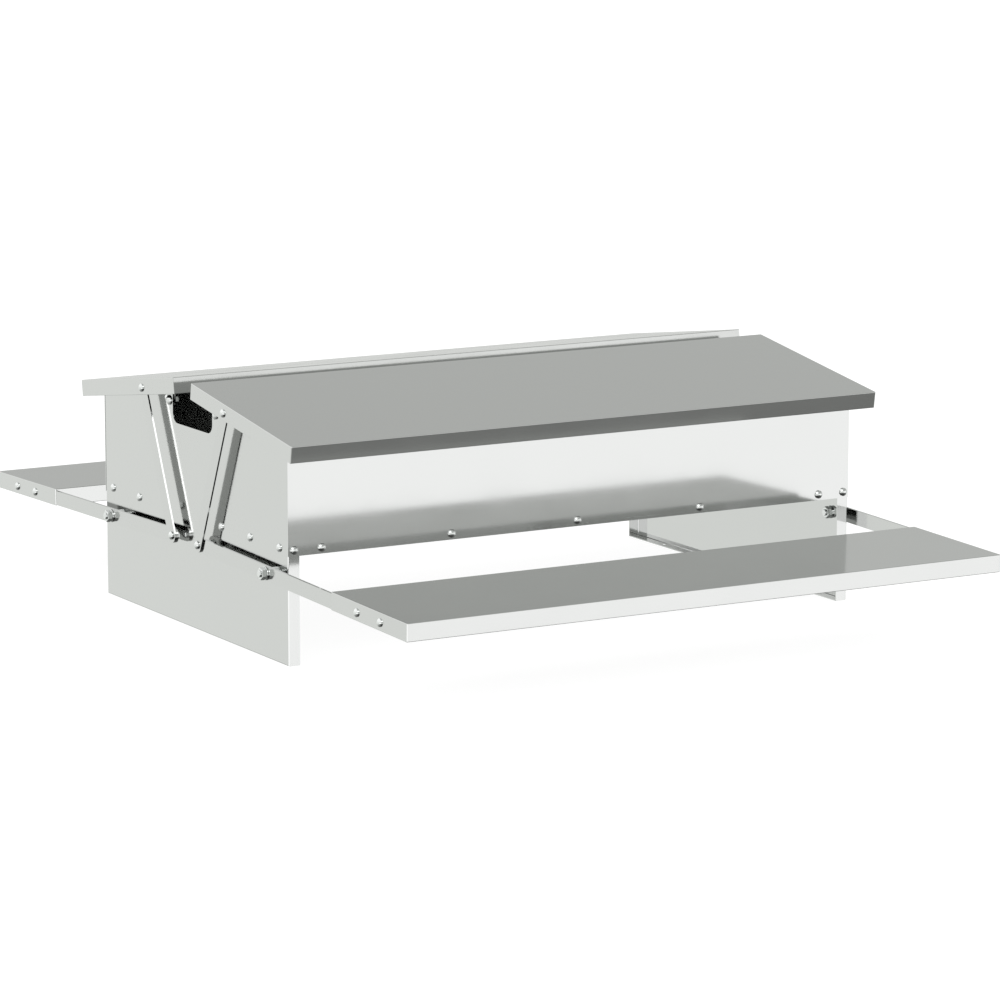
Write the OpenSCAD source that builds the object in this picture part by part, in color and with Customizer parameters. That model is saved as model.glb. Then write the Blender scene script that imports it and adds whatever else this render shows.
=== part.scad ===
// Double-sided treadle feeder for hens, folded from sheet steel.
// X runs along the feeder, Y from the front to the back, Z up from the ground.
// Each side has a lid, a treadle plate on two arms, and two link bars between arms and lid.
// Pieces are drawn for the right end and the back side, and mirrored to the other places.

/* [Housing] */
// Length over the outer faces of the end panels
housing_l = 772; // [600:1:1000]
// Depth of the end panels, front to back
housing_d = 490; // [450:1:600]
// Thickness of the folded sheets
sheet_t = 1.2; // [1:0.1:2]
// Inner radius of the folds
fold_r = 0.8; // [0.5:0.1:1.2]
// Width of the folded edges of the end panels
edge_w = 15; // [13:0.5:22]
// Height of the underside of the feed tray
tray_z = 129; // [126:1:150]
// Height of the up-turned edges of the feed tray
tray_edge_h = 16; // [14:0.5:30]
// Width of the safety fold along the top of each wall
wall_fold_w = 12; // [6:0.5:20]
// Gap between the top of each wall and the closed lid
wall_lid_gap = 5; // [2:0.5:12]
// Half width of the open notch in the top of each end panel
notch_half_w = 53; // [48:0.5:54]
// Height of the bottom of the notch
notch_z = 243; // [200:1:246]
// Corner radius of the notch
notch_r = 12; // [4:0.5:20]

/* [Floor screws] */
// Distance of the floor screw holes from the outer face of the end panel
floor_hole_inset = 8; // [7:0.5:9]
// Distance between the two floor screw holes of one end panel
floor_hole_pitch = 336; // [200:1:400]
// Radius of the floor screw holes
floor_hole_r = 2.6; // [2:0.1:3.5]

/* [Lids] */
// Height of the ridge edges above the ground
ridge_z = 301.8; // [295:0.5:330]
// Distance between the two ridge edges
ridge_gap = 50; // [44:1:60]
// Slope of the closed lids
lid_slope = 8.4; // [7:0.1:9.5]
// How far each eave stands out past the housing
eave_reach = 38.5; // [25:0.5:50]
// Depth of the folded lips of the lids
lid_lip = 20; // [18:0.5:24]
// Distance of the lid pivots from the centre plane
lid_pivot_y = 62; // [61:0.5:66]
// Distance of the lid pivots below the top face of the lid
lid_pivot_drop = 27.5; // [27:0.5:32]
// Distance from a lid pivot to the link screw, along the lid
lid_link_u = 46; // [42:0.5:50]

/* [Treadles] */
// Distance of the treadle pivots from the edges of the end panels
treadle_pivot_inset = 36; // [30:0.5:50]
// Height of the treadle pivots
treadle_pivot_z = 104.6; // [96:0.5:110]
// How far the treadles slope down outwards at rest
treadle_tilt = 1.4; // [0:0.1:3]
// Distance from the treadle pivot to the near edge of the plate
plate_reach = 163.6; // [130:0.5:200]
// Width of the treadle plate
plate_w = 178; // [150:1:220]
// Depth of the folded lips of the treadle plate
plate_lip = 21; // [20:0.5:26]
// Distance between the two screws at each end of the plate
plate_screw_pitch = 54.5; // [40:0.5:90]
// Height of the treadle arms
arm_w = 18; // [16:0.5:19]
// Thickness of the treadle arms
arm_t = 3; // [2:0.5:4]
// Distance between the end panels and the treadle arms
arm_gap = 7.2; // [7:0.1:10]

/* [Links] */
// Distance of the lower link pins from the centre plane
link_foot_y = 35; // [28:0.5:40]
// Width of the link bars
link_w = 18; // [16:0.5:20]
// Thickness of the link bars
link_t = 2; // [1.5:0.5:3]
// Play of the upper screw in the link bar, on the radius
open_pivot_play = 2.6; // [2.4:0.1:3]

/* [Small screws] */
// Shank radius of the small screws and link pins
screw_r = 2.5; // [1.5:0.1:2.7]
// Head radius of the small screws
screw_head_r = 5; // [3.5:0.1:5.5]
// Head height of the small screws
screw_head_h = 3.6; // [2:0.1:4]
// Width across flats of the small nuts
screw_nut_af = 8; // [6.5:0.1:8.5]
// Height of the small nuts
screw_nut_h = 4; // [2:0.1:4.2]

/* [Pivots] */
// Shank radius of the treadle pivot bolts
bolt_r = 4; // [2.5:0.1:4.2]
// Width across flats of the heads and nuts of the treadle pivots
bolt_af = 13; // [9:0.5:14]
// Height of the heads and nuts of the treadle pivots
bolt_nut_h = 6; // [4:0.5:7]
// Radius of the washers of the treadle pivots
washer_r = 8; // [6.5:0.1:8.5]
// Thickness of the washers
washer_t = 1.4; // [1:0.1:2]
// Shank radius of the lid pivot bolts
lid_bolt_r = 3; // [2.5:0.1:3.5]
// Width across flats of the nuts of the lid pivots
lid_bolt_af = 10; // [8:0.5:11]
// Height of the nuts of the lid pivots
lid_bolt_nut_h = 5; // [3:0.5:6]
// Radius of the round heads of the lid pivot bolts
lid_head_r = 6; // [4.5:0.1:6.5]

/* [Hidden] */

// Finishes
steel = [0.80, 0.82, 0.80];
bright = [0.88, 0.89, 0.89];
round_fn = 64;
small_fn = 32;

// Clearances and the one overrun of every cut
overrun = 1;
seat_gap = 0.3;
side_gap = 0.3;
running_gap = 0.05;
hole_gap = 0.15;
fold_gap = 0.3;
seam_gap = 0.3;
link_top_gap = 1.1;
plate_clear = 0.4;

// Places of the tray screws
tray_screw_rise = 7.2;
wall_screw_count = 5;
wall_screw_inset = 43.5;
panel_screws_per_side = 3;
panel_screw_inset = 21;
screw_tip = 0.8;
screw_rim_h = 1.1;
screw_washer_r = 6.5;
screw_washer_t = 0.8;

// Bevels of the nuts
nut_bevel = 30;
nut_face_share = 0.95;
nut_rim_share = 1.1;

// Ears of the end panels beside the notch
ear_run = 10;
ear_rise = 16;

// Pivot hardware
bolt_tip = 1.8;
lid_head_h = 3.6;
lid_head_rim_h = 1.2;
lid_spacer_r = 6.2;
lid_spacer_t = 1.2;
sleeve_r = 6.5;
bracket_t = 2;
bracket_r = 8;
foot_l = 34;
foot_w = 14;
arm_tail = 17;

// Main planes
bend_r = fold_r + sheet_t;
end_x = housing_l / 2;
wall_y = housing_d / 2;
screw_z = tray_z + tray_screw_rise;
edge_screw_x = end_x - edge_w / 2;
wall_screw_pitch = (housing_l - 2 * wall_screw_inset) / (wall_screw_count - 1);
panel_screw_pitch = (wall_y - panel_screw_inset) / panel_screws_per_side;

// Layers outwards from the outer face of the end panel
arm_x = end_x + arm_gap;
link_x = arm_x + arm_t + side_gap;
lid_flange_x = link_x + link_t + side_gap;
lid_l = 2 * (lid_flange_x + sheet_t);
plate_l = 2 * (arm_x + arm_t + sheet_t);

// Lid, in its own frame: origin at the pivot, first axis outwards along the lid, second square to it
lid_pivot_z = lid_top_z(lid_pivot_y) - lid_pivot_drop / cos(lid_slope);
ridge_u = (ridge_gap / 2 - lid_pivot_y) / cos(lid_slope) - lid_pivot_drop * tan(lid_slope);
lid_low = lid_pivot_drop - lid_lip;
lid_span = (wall_y + eave_reach - ridge_gap / 2) / cos(lid_slope);
eave_u = ridge_u + lid_span;
bracket_top = lid_pivot_drop - sheet_t;
lid_link_w = bracket_top - link_w / 2 - link_top_gap;

// Treadle, in its own frame: origin at the pivot, first axis outwards along the arm
treadle_pivot_y = wall_y - treadle_pivot_inset;
arm_inner = (treadle_pivot_y - link_foot_y) / cos(treadle_tilt);
plate_mid = plate_reach + plate_w / 2;
plate_top = arm_w / 2 + bend_r + plate_clear;
plate_low = plate_top - plate_lip;
plate_far = plate_reach + plate_w;
arm_outer = plate_mid + plate_screw_pitch / 2 + arm_tail;

// Link pins in the side plane, for the back side
link_foot = [
    treadle_pivot_y - arm_inner * cos(treadle_tilt),
    treadle_pivot_z + arm_inner * sin(treadle_tilt)
];
link_head = [
    lid_pivot_y + lid_link_u * cos(lid_slope) + lid_link_w * sin(lid_slope),
    lid_pivot_z - lid_link_u * sin(lid_slope) + lid_link_w * cos(lid_slope)
];
link_l = norm(link_head - link_foot);
link_lean = atan2(link_head[0] - link_foot[0], link_head[1] - link_foot[1]);

// Height of the top face of a closed lid at a distance from the centre plane
function lid_top_z(y) = ridge_z - (y - ridge_gap / 2) * tan(lid_slope);
// Height of the top edge of the end panels, just below the closed lid
function panel_top_z(y) = lid_top_z(y) - (sheet_t + seat_gap) / cos(lid_slope);
// Radius of a dome of a given height over a round of a given radius
function dome_r(r, h) = (r * r + h * h) / (2 * h);
// Corner radius of a hexagon of a given width across flats
function hex_r(af) = af / sqrt(3);

// Places: ends along X and sides along Y
module to_end(end) {
    mirror([end < 0 ? 1 : 0, 0, 0])
        children();
}

module to_side(side) {
    mirror([0, side < 0 ? 1 : 0, 0])
        children();
}

module both_ends() {
    for (end = [-1, 1])
        to_end(end) children();
}

module both_sides() {
    for (side = [-1, 1])
        to_side(side) children();
}

// Extrudes an outline of the side plane along X, from x towards +X
module along_x(x, length) {
    translate([x, 0, 0])
        rotate([90, 0, 90])
            linear_extrude(length)
                children();
}

// Extrudes an outline of the front plane along Y, from y towards +Y
module along_y(y, length) {
    translate([0, y + length, 0])
        rotate([90, 0, 0])
            linear_extrude(length)
                children();
}

// Rectangle whose two upper corners are rounded
module folded_outline(from, to, low, top, r) {
    translate([from, low])
        square([to - from, top - low - r]);
    translate([from + r, low])
        square([to - from - 2 * r, top - low]);
    for (place = [from + r, to - r])
        translate([place, top - r])
            circle(r = r, $fn = small_fn);
}

// Block whose upper edges are all rounded, centred on X
module folded_block(half_l, from, to, low, top, r) {
    intersection() {
        along_x(-half_l, 2 * half_l)
            folded_outline(from, to, low, top, r);
        along_y(from, to - from)
            folded_outline(-half_l, half_l, low, top, r);
    }
}

// Upturned pan of folded sheet with an open seam at each corner
module folded_pan(half_l, from, to, low, top) {
    inner_l = half_l - sheet_t;
    difference() {
        folded_block(half_l, from, to, low, top, bend_r);
        folded_block(inner_l, from + sheet_t, to - sheet_t, low - overrun, top - sheet_t, fold_r);
        both_ends()
            for (y = [from - overrun, to - sheet_t - fold_r])
                translate([inner_l - seam_gap, y, low - overrun])
                    cube([seam_gap, sheet_t + fold_r + overrun, top - low - bend_r + overrun]);
    }
}

// Turns a piece that stands on +Z so that it points out of the right end
module outward_x(x) {
    translate([x, 0, 0])
        rotate([0, 90, 0])
            children();
}

module at_lid_pivot() {
    translate([0, lid_pivot_y, lid_pivot_z])
        rotate([-lid_slope, 0, 0])
            children();
}

module at_treadle_pivot() {
    translate([0, treadle_pivot_y, treadle_pivot_z])
        rotate([-treadle_tilt, 0, 0])
            children();
}

// Fasteners, with the head above the seat at zero and the nut below the grip
module domed_head(r, h, rim_h) {
    dome = dome_r(r, h - rim_h);
    intersection() {
        cylinder(h = h, r = r, $fn = round_fn);
        translate([0, 0, h - dome])
            sphere(r = dome, $fn = round_fn);
    }
}

module hex_nut(af, h) {
    face_r = af / 2 * nut_face_share;
    rim_r = hex_r(af) * nut_rim_share;
    bevel_h = (rim_r - face_r) * tan(nut_bevel);
    intersection() {
        cylinder(h = h, r = hex_r(af), $fn = 6);
        rotate_extrude($fn = round_fn)
            polygon([
                [0, 0],
                [face_r, 0],
                [rim_r, bevel_h],
                [rim_r, h - bevel_h],
                [face_r, h],
                [0, h]
            ]);
    }
}

module pan_screw(grip) {
    reach = grip + screw_nut_h + screw_tip;
    color(bright) {
        domed_head(screw_head_r, screw_head_h, screw_rim_h);
        translate([0, 0, -reach])
            cylinder(h = reach, r = screw_r, $fn = small_fn);
        translate([0, 0, -grip - screw_nut_h])
            hex_nut(screw_nut_af, screw_nut_h);
    }
}

module ring(outer_r, inner_r, h) {
    difference() {
        cylinder(h = h, r = outer_r, $fn = round_fn);
        translate([0, 0, -overrun])
            cylinder(h = h + 2 * overrun, r = inner_r, $fn = small_fn);
    }
}

// Straight bar with round ends, from the first hole to a distance along the first axis
module bar_outline(from, to, width) {
    translate([from, -width / 2])
        square([to - from, width]);
    for (end = [from, to])
        translate([end, 0])
            circle(d = width, $fn = round_fn);
}

// End panel with its notch and its three folded edges
module end_panel_outline() {
    difference() {
        polygon([
            [-wall_y, 0],
            [wall_y, 0],
            [wall_y, panel_top_z(wall_y)],
            [lid_pivot_y + ear_run, panel_top_z(lid_pivot_y + ear_run)],
            [notch_half_w, lid_pivot_z + ear_rise],
            [-notch_half_w, lid_pivot_z + ear_rise],
            [-lid_pivot_y - ear_run, panel_top_z(lid_pivot_y + ear_run)],
            [-wall_y, panel_top_z(wall_y)]
        ]);
        notch_outline();
    }
}

module notch_outline() {
    inner_w = notch_half_w - notch_r;
    depth = ridge_z - notch_z;
    translate([-notch_half_w, notch_z + notch_r])
        square([2 * notch_half_w, depth]);
    translate([-inner_w, notch_z])
        square([2 * inner_w, depth]);
    for (side = [-1, 1])
        translate([side * inner_w, notch_z + notch_r])
            circle(r = notch_r, $fn = round_fn);
}

// Block of the end panel, rounded along its side edges and its bottom edge
module panel_block(out_x, half_d, low, r) {
    height = ridge_z - low;
    in_x = end_x - edge_w - overrun;
    intersection() {
        translate([0, 0, low])
            linear_extrude(height)
                rotate(-90)
                    folded_outline(-half_d, half_d, in_x, out_x, r);
        along_y(-half_d, 2 * half_d)
            rotate(-90)
                folded_outline(-ridge_z - r, -low, in_x, out_x, r);
    }
}

// Open seams between the folded bottom edge and the folded side edges
module panel_seams() {
    both_sides()
        translate([end_x - edge_w - overrun, wall_y - sheet_t - seam_gap, -overrun])
            cube([edge_w - bend_r + overrun, seam_gap, sheet_t + fold_r + overrun]);
}

module end_panel_holes() {
    hole_r = screw_r + hole_gap;
    both_sides() {
        for (place = [1 : panel_screws_per_side])
            translate([0, place * panel_screw_pitch, screw_z])
                outward_x(end_x - sheet_t - overrun)
                    cylinder(h = sheet_t + 2 * overrun, r = hole_r, $fn = small_fn);
        translate([0, treadle_pivot_y, treadle_pivot_z])
            outward_x(end_x - sheet_t - overrun)
                cylinder(h = sheet_t + 2 * overrun, r = bolt_r + hole_gap, $fn = small_fn);
        translate([0, lid_pivot_y, lid_pivot_z])
            outward_x(end_x - sheet_t - overrun)
                cylinder(h = sheet_t + 2 * overrun, r = lid_bolt_r + hole_gap, $fn = small_fn);
        translate([edge_screw_x, wall_y + overrun, screw_z])
            rotate([90, 0, 0])
                cylinder(h = sheet_t + 2 * overrun, r = hole_r, $fn = small_fn);
        translate([end_x - floor_hole_inset, floor_hole_pitch / 2, -overrun])
            cylinder(h = sheet_t + 2 * overrun, r = floor_hole_r, $fn = small_fn);
    }
}

module end_panel(end) {
    color(steel)
        to_end(end)
            difference() {
                intersection() {
                    panel_block(end_x, wall_y, 0, bend_r);
                    along_x(end_x - edge_w, edge_w)
                        end_panel_outline();
                }
                panel_block(end_x - sheet_t, wall_y - sheet_t, sheet_t, fold_r);
                panel_seams();
                end_panel_holes();
            }
}

// Long wall, outside the folded edges of the end panels, with a safety fold at the top
module long_wall(side) {
    top = lid_top_z(wall_y + sheet_t) - sheet_t / cos(lid_slope) - wall_lid_gap;
    height = top - tray_z;
    fold_from = wall_y - wall_fold_w;
    fold_half_l = end_x - edge_w - fold_gap;
    color(steel)
        to_side(side)
            difference() {
                along_x(-end_x, housing_l)
                    difference() {
                        wall_profile(fold_from, wall_y + sheet_t, tray_z, top, bend_r);
                        wall_profile(fold_from - overrun, wall_y, tray_z - overrun, top - sheet_t, fold_r);
                    }
                both_ends()
                    translate([fold_half_l, fold_from - overrun, tray_z])
                        cube([edge_w + fold_gap + overrun, wall_fold_w + overrun, height + overrun]);
                for (x = wall_screw_places())
                    translate([x, wall_y - overrun, screw_z])
                        rotate([-90, 0, 0])
                            cylinder(h = sheet_t + 2 * overrun, r = screw_r + hole_gap, $fn = small_fn);
            }
}

// Rectangle whose upper outer corner is rounded
module wall_profile(from, to, low, top, r) {
    translate([from, low])
        square([to - from, top - low - r]);
    translate([from, low])
        square([to - from - r, top - low]);
    translate([to - r, top - r])
        circle(r = r, $fn = small_fn);
}

function tray_screw_places() = [
    for (place = [0 : wall_screw_count - 1])
        wall_screw_inset - end_x + place * wall_screw_pitch
];
function wall_screw_places() = concat(tray_screw_places(), [-edge_screw_x, edge_screw_x]);

// Feed tray, an open pan whose edges lie against the walls and the end panels
module feed_tray() {
    half_l = end_x - sheet_t;
    edge_top = tray_z + tray_edge_h;
    corner_x = end_x - edge_w - fold_gap;
    corner_y = wall_y - sheet_t - fold_r - fold_gap;
    hole_r = screw_r + hole_gap;
    color(steel)
        difference() {
            mirror([0, 0, 1])
                difference() {
                    folded_block(half_l, -wall_y, wall_y, -edge_top, -tray_z, bend_r);
                    folded_block(
                        half_l - sheet_t,
                        -wall_y + sheet_t,
                        wall_y - sheet_t,
                        -edge_top - overrun,
                        -tray_z - sheet_t,
                        fold_r
                    );
                }
            both_ends()
                both_sides()
                    translate([corner_x, corner_y, tray_z - overrun])
                        cube([edge_w, edge_w, tray_edge_h + 2 * overrun]);
            both_sides() {
                for (x = tray_screw_places())
                    translate([x, wall_y - sheet_t - overrun, screw_z])
                        rotate([-90, 0, 0])
                            cylinder(h = sheet_t + 2 * overrun, r = hole_r, $fn = small_fn);
                both_ends()
                    for (place = [1 : panel_screws_per_side])
                        translate([0, place * panel_screw_pitch, screw_z])
                            outward_x(half_l - sheet_t - overrun)
                                cylinder(h = sheet_t + 2 * overrun, r = hole_r, $fn = small_fn);
            }
        }
}

module wall_screws(side) {
    to_side(side)
        for (x = wall_screw_places())
            translate([x, wall_y + sheet_t, screw_z])
                rotate([-90, 0, 0])
                    pan_screw(2 * sheet_t);
}

module panel_screws(end) {
    to_end(end)
        both_sides()
            for (place = [1 : panel_screws_per_side])
                translate([0, place * panel_screw_pitch, screw_z])
                    outward_x(end_x)
                        pan_screw(2 * sheet_t);
}

// Treadle pivot: nut and washer inside the panel, then sleeve, arm, washer and nut outside
module at_treadle_bolts() {
    both_ends()
        both_sides()
            translate([0, treadle_pivot_y, treadle_pivot_z])
                outward_x(end_x)
                    children();
}

treadle_washer_out = arm_gap + arm_t + side_gap;
treadle_nut_out = treadle_washer_out + washer_t;
treadle_seat_in = sheet_t + washer_t;

// Threaded pins whose inner nuts are locked
module treadle_pivot_bolts() {
    inner = treadle_seat_in + bolt_nut_h + bolt_tip;
    outer = treadle_nut_out + bolt_nut_h + bolt_tip;
    color(bright)
        at_treadle_bolts() {
            translate([0, 0, -inner])
                cylinder(h = inner + outer, r = bolt_r, $fn = small_fn);
            translate([0, 0, -treadle_seat_in - bolt_nut_h])
                hex_nut(bolt_af, bolt_nut_h);
        }
}

module treadle_pivot_washers() {
    color(bright)
        at_treadle_bolts()
            for (foot = [-treadle_seat_in, treadle_washer_out])
                translate([0, 0, foot])
                    ring(washer_r, bolt_r + running_gap, washer_t);
}

module treadle_pivot_spacers() {
    color(bright)
        at_treadle_bolts()
            ring(sleeve_r, bolt_r + running_gap, arm_gap - side_gap);
}

module treadle_pivot_nuts() {
    color(bright)
        at_treadle_bolts()
            translate([0, 0, treadle_nut_out])
                difference() {
                    hex_nut(bolt_af, bolt_nut_h);
                    translate([0, 0, -overrun])
                        cylinder(h = bolt_nut_h + 2 * overrun, r = bolt_r + running_gap, $fn = small_fn);
                }
}

// Lid pivot: low round head outside the panel, then spacer, lid bracket and nut inside
module at_lid_bolts() {
    both_ends()
        both_sides()
            translate([0, lid_pivot_y, lid_pivot_z])
                outward_x(end_x)
                    children();
}

lid_bracket_in = sheet_t + lid_spacer_t + side_gap;
lid_nut_in = lid_bracket_in + bracket_t + side_gap;

module lid_pivot_bolts() {
    shank = lid_nut_in + lid_bolt_nut_h + bolt_tip;
    color(bright)
        at_lid_bolts() {
            domed_head(lid_head_r, lid_head_h, lid_head_rim_h);
            translate([0, 0, -shank])
                cylinder(h = shank, r = lid_bolt_r, $fn = small_fn);
        }
}

module lid_pivot_spacers() {
    color(bright)
        at_lid_bolts()
            translate([0, 0, -sheet_t - lid_spacer_t])
                ring(lid_spacer_r, lid_bolt_r + running_gap, lid_spacer_t);
}

module lid_pivot_nuts() {
    color(bright)
        at_lid_bolts()
            translate([0, 0, -lid_nut_in - lid_bolt_nut_h])
                difference() {
                    hex_nut(lid_bolt_af, lid_bolt_nut_h);
                    translate([0, 0, -overrun])
                        cylinder(
                            h = lid_bolt_nut_h + 2 * overrun,
                            r = lid_bolt_r + running_gap,
                            $fn = small_fn
                        );
                }
}

// Treadle plate, an upturned pan whose end lips lie outside the arms
module treadle_plate(side) {
    lip_x = arm_x + arm_t;
    color(steel)
        to_side(side)
            at_treadle_pivot()
                difference() {
                    folded_pan(plate_l / 2, plate_reach, plate_far, plate_low, plate_top);
                    both_ends() {
                        translate([arm_x - side_gap, plate_reach - overrun, plate_low - overrun])
                            cube([
                                arm_t + side_gap,
                                bend_r + overrun,
                                plate_top - bend_r - plate_low + overrun
                            ]);
                        for (half = [-1, 1])
                            translate([0, plate_mid + half * plate_screw_pitch / 2, 0])
                                outward_x(lip_x - overrun)
                                    cylinder(
                                        h = sheet_t + 2 * overrun,
                                        r = screw_r + hole_gap,
                                        $fn = small_fn
                                    );
                    }
                }
}

// Treadle arm, from the link pin past the pivot to the far side of the plate screws
module treadle_arm(side, end) {
    color(steel)
        to_side(side)
            to_end(end)
                at_treadle_pivot()
                    along_x(arm_x, arm_t)
                        difference() {
                            bar_outline(-arm_inner, arm_outer - arm_w / 2, arm_w);
                            circle(r = bolt_r + running_gap, $fn = small_fn);
                            translate([-arm_inner, 0])
                                circle(r = screw_r + hole_gap, $fn = small_fn);
                            for (half = [-1, 1])
                                translate([plate_mid + half * plate_screw_pitch / 2, 0])
                                    circle(r = screw_r + hole_gap, $fn = small_fn);
                        }
}

module treadle_screws(side) {
    to_side(side)
        both_ends()
            at_treadle_pivot()
                for (half = [-1, 1])
                    translate([0, plate_mid + half * plate_screw_pitch / 2, 0])
                        outward_x(arm_x + arm_t + sheet_t)
                            pan_screw(sheet_t + arm_t);
}

// Lower link pins, fixed in the arms
module link_pins(side) {
    to_side(side)
        both_ends()
            at_treadle_pivot()
                translate([0, -arm_inner, 0])
                    outward_x(link_x + link_t + side_gap)
                        pan_screw(arm_t + link_t + 2 * side_gap);
}

// Lid, a folded pan whose end lips lie outside the link bars
module lid(side) {
    color(steel)
        to_side(side)
            at_lid_pivot()
                difference() {
                    folded_pan(lid_l / 2, ridge_u, eave_u, lid_low, lid_pivot_drop);
                    both_ends()
                        translate([0, lid_link_u, lid_link_w])
                            outward_x(lid_flange_x - overrun)
                                cylinder(h = sheet_t + 2 * overrun, r = screw_r + hole_gap, $fn = small_fn);
                }
}

// Hinge brackets, welded under the lid just inside the end panels
module lid_brackets(side) {
    lug_x = end_x - lid_bracket_in - bracket_t;
    color(steel)
        to_side(side)
            both_ends()
                at_lid_pivot() {
                    along_x(lug_x, bracket_t)
                        difference() {
                            union() {
                                circle(r = bracket_r, $fn = round_fn);
                                translate([-bracket_r, 0])
                                    square([2 * bracket_r, bracket_top]);
                            }
                            circle(r = lid_bolt_r + running_gap, $fn = small_fn);
                        }
                    translate([lug_x + bracket_t - foot_w, -foot_l / 2, bracket_top - bracket_t])
                        cube([foot_w, foot_l, bracket_t]);
                }
}

// Upper link screws, fixed in the end lips of the lid
module lid_link_screws(side) {
    grip = sheet_t + link_t + 2 * side_gap + screw_washer_t;
    to_side(side)
        both_ends()
            at_lid_pivot()
                translate([0, lid_link_u, lid_link_w])
                    outward_x(lid_flange_x + sheet_t) {
                        pan_screw(grip);
                        color(bright)
                            translate([0, 0, -grip])
                                cylinder(h = screw_washer_t, r = screw_washer_r, $fn = round_fn);
                    }
}

// Link bar: a running hole on the lower pin and a wide hole round the upper screw
module link_bar(side, end) {
    color(steel)
        to_side(side)
            to_end(end)
                translate([0, link_foot[0], link_foot[1]])
                    rotate([-link_lean, 0, 0])
                        along_x(link_x, link_t)
                            rotate(90)
                                difference() {
                                    bar_outline(0, link_l, link_w);
                                    circle(r = screw_r + running_gap, $fn = small_fn);
                                    translate([link_l, 0])
                                        circle(r = screw_r + open_pivot_play, $fn = round_fn);
                                }
}

end_panel(-1);  // left_end_panel
end_panel(1);  // right_end_panel
long_wall(-1);  // front_wall
long_wall(1);  // back_wall
feed_tray();
wall_screws(-1);  // front_wall_screws
wall_screws(1);  // back_wall_screws
panel_screws(-1);  // left_panel_screws
panel_screws(1);  // right_panel_screws
treadle_pivot_bolts();
treadle_pivot_washers();
treadle_pivot_spacers();
treadle_pivot_nuts();
lid_pivot_bolts();
lid_pivot_spacers();
lid_pivot_nuts();
treadle_plate(-1);  // front_treadle_plate
treadle_arm(-1, -1);  // front_left_arm
treadle_arm(-1, 1);  // front_right_arm
treadle_screws(-1);  // front_treadle_screws
link_pins(-1);  // front_link_pins
treadle_plate(1);  // back_treadle_plate
treadle_arm(1, -1);  // back_left_arm
treadle_arm(1, 1);  // back_right_arm
treadle_screws(1);  // back_treadle_screws
link_pins(1);  // back_link_pins
lid(-1);  // front_lid
lid_brackets(-1);  // front_lid_brackets
lid_link_screws(-1);  // front_lid_link_screws
lid(1);  // back_lid
lid_brackets(1);  // back_lid_brackets
lid_link_screws(1);  // back_lid_link_screws
link_bar(-1, -1);  // front_left_link
link_bar(-1, 1);  // front_right_link
link_bar(1, -1);  // back_left_link
link_bar(1, 1);  // back_right_link
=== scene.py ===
"""Looks of a double-sided treadle feeder for hens, folded from bright steel sheet.

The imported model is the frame: its sheets, bars and fasteners stay where they are and get their
finishes here. Finer lids, treadle plates and fasteners stand in for the plain ones. Lengths are in
metres, in the frame of the part: X along the feeder, Y to the back, Z up from the ground.
"""

import logging
import math
from collections.abc import Iterable
from dataclasses import dataclass, field
from enum import Enum

import bpy
import numpy as np
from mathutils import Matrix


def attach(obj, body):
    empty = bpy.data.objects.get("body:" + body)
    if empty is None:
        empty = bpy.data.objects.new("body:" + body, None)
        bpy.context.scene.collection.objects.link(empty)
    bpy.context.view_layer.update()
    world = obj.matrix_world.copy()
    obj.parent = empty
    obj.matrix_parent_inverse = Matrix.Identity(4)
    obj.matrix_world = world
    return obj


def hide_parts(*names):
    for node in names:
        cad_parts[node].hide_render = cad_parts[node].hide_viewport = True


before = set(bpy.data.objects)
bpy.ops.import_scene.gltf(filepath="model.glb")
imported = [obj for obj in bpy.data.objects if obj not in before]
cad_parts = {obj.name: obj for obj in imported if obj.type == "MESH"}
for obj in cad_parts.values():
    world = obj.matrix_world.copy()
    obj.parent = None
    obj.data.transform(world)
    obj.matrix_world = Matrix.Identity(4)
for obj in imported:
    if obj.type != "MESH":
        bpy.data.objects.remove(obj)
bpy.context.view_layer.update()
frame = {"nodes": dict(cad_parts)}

LOG = logging.getLogger("feeder")
MM = 0.001
GRAIN_STRETCH = 0.02  # scale of a pattern along the grain, against one across it
Ramp = tuple[tuple[float, float], ...]


class Grain(Enum):
    """Axis along which a sheet or bar was rolled, as the scale of a pattern on each axis."""

    ALONG_X = (GRAIN_STRETCH, 1.0, 1.0)
    ALONG_Y = (1.0, GRAIN_STRETCH, 1.0)
    ALONG_Z = (1.0, 1.0, GRAIN_STRETCH)


def linear(hex_colour: str) -> tuple[float, float, float, float]:
    """Turns an sRGB hex colour into a linear colour.

    Args:
        hex_colour: Six hex digits, with or without a leading hash.

    Returns:
        Red, green, blue and an alpha of one.
    """
    digits = hex_colour.lstrip("#")
    srgb = np.array([int(digits[place : place + 2], 16) for place in (0, 2, 4)]) / 255.0
    low = srgb / 12.92
    high = ((srgb + 0.055) / 1.055) ** 2.4
    return (*np.where(srgb <= 0.04045, low, high).tolist(), 1.0)


def add_node(
    tree: bpy.types.NodeTree, kind: str, settings: dict[str, object] | None = None, **inputs: object
) -> bpy.types.Node:
    """Adds a node and sets or links its inputs.

    Args:
        tree: Node tree that gets the node.
        kind: Node type, such as ShaderNodeMath.
        settings: Attributes of the node itself.
        inputs: Values or output sockets by input name, with spaces as underscores; i0, i1 are places.

    Returns:
        The new node.
    """
    node = tree.nodes.new(kind)
    for name, value in (settings or {}).items():
        setattr(node, name, value)
    for name, value in inputs.items():
        place = int(name[1:]) if name[0] == "i" and name[1:].isdigit() else name.replace("_", " ")
        if isinstance(value, bpy.types.NodeSocket):
            tree.links.new(value, node.inputs[place])
        else:
            node.inputs[place].default_value = value
    return node


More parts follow.
